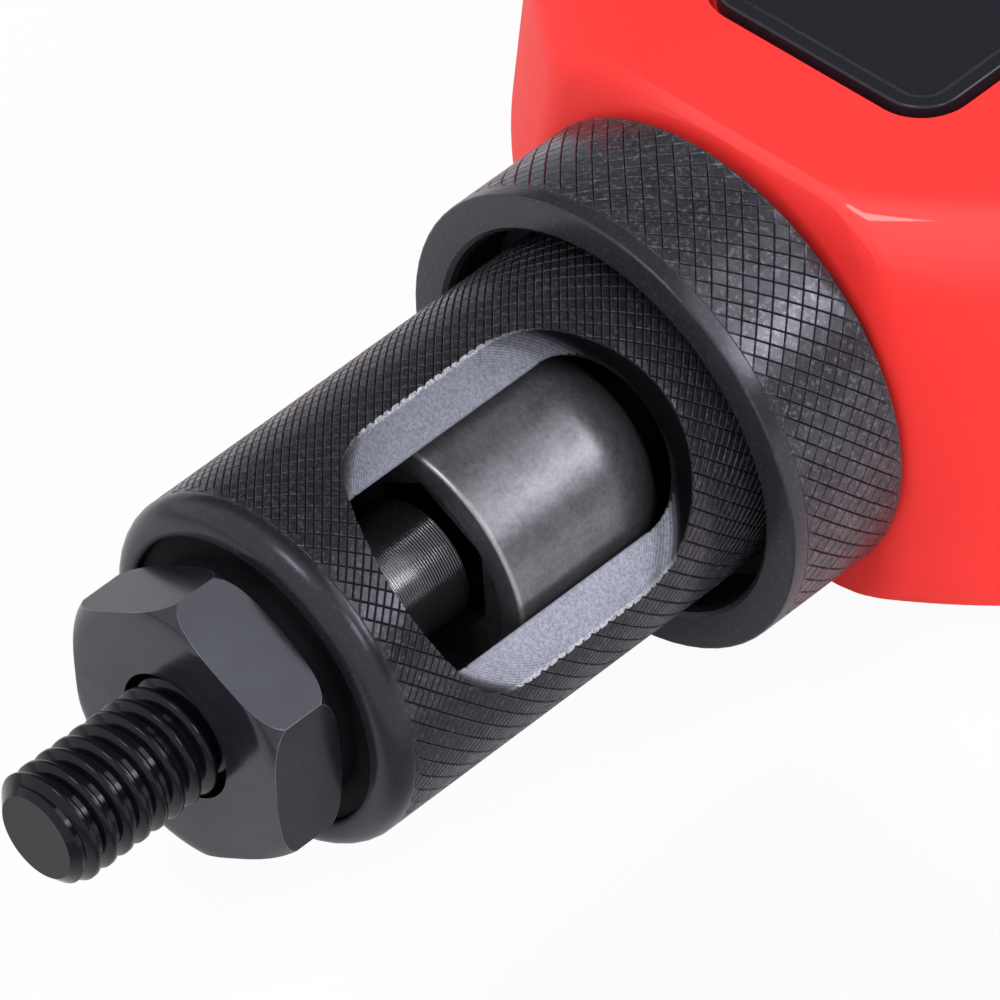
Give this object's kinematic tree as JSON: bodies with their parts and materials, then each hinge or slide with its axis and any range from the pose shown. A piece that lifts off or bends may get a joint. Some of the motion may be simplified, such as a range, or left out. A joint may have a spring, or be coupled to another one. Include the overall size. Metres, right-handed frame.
{
  "type": "rivet nut tool",
  "caption": "Two-handle hand tool that sets threaded rivet nuts: red cast head, knurled nose with a window, threaded mandrel and gripped levers.",
  "frame": {"origin": "on the nose axis in the front face of the anvil", "axes": "-Y out of the nose, +Y towards the handles, +Z out of the badge face; the tool lies flat on -Z"},
  "size_m": [0.1148, 0.355, 0.0346],
  "materials": {
    "red_paint": "gloss",
    "badge_black": "gloss",
    "black_oxide": "satin",
    "worn_steel": "satin",
    "bright_steel": "satin",
    "bronze": "satin",
    "lever_black": "satin",
    "grip_rubber": "matte"
  },
  "bodies": {
    "head": {"head_housing": "red_paint", "badge_plate": "badge_black", "pivot_pins": "bright_steel", "pivot_clips": "black_oxide", "drawbar_bush": "bronze"},
    "lock_ring": {"lock_ring": "black_oxide"},
    "nose": {"nose_sleeve": "black_oxide", "anvil": "black_oxide"},
    "drawbar": {"mandrel": "black_oxide", "drawbar": "bright_steel", "drawbar_pin": "bright_steel", "crosshead_block": "bright_steel", "crosshead_upper_plate": "bright_steel", "crosshead_lower_plate": "bright_steel", "crosshead_screws": "black_oxide", "release_spring": "bright_steel"},
    "release": {"release_sleeve": "worn_steel", "release_ring": "bright_steel"},
    "left_handle": {"left_lever": "lever_black", "left_bush": "bronze", "left_drive_pin": "bright_steel", "left_tube": "lever_black", "left_tube_pins": "bright_steel", "left_grip": "grip_rubber"},
    "right_handle": {"right_lever": "lever_black", "right_bush": "bronze", "right_drive_pin": "bright_steel", "right_tube": "lever_black", "right_tube_pins": "bright_steel", "right_grip": "grip_rubber"}
  },
  "joints": [
    {"name": "left_handle_swing", "type": "hinge", "parent": "head", "child": "left_handle", "pos_m": [-0.014, 0.095, 0], "axis": [0, 0, 1], "range_deg": [0, 42]},
    {"name": "right_handle_swing", "type": "hinge", "parent": "head", "child": "right_handle", "pos_m": [0.014, 0.095, 0], "axis": [0, 0, -1], "range_deg": [0, 42]},
    {"name": "drawbar_slide", "type": "slide", "parent": "head", "child": "drawbar", "axis": [0, -1, 0], "range_m": [0, 0.0086]},
    {"name": "release_slide", "type": "slide", "parent": "drawbar", "child": "release", "axis": [0, 1, 0], "range_m": [0, 0.003], "stiffness_N_per_m": 600, "springref_m": -0.006, "deforming": ["release_spring"]},
    {"name": "lock_ring_turn", "type": "hinge", "parent": "head", "child": "lock_ring", "pos_m": [0, 0.0424, 0], "axis": [0, 1, 0], "continuous": true},
    {"name": "nose_turn", "type": "hinge", "parent": "head", "child": "nose", "pos_m": [0, 0.0424, 0], "axis": [0, 1, 0], "continuous": true}
  ],
  "couplings": [
    {"joint": "right_handle_swing", "follows": "left_handle_swing", "ratio": 1},
    {"joint": "drawbar_slide", "follows": "left_handle_swing", "m_per_rad": 0.011733}
  ]
}
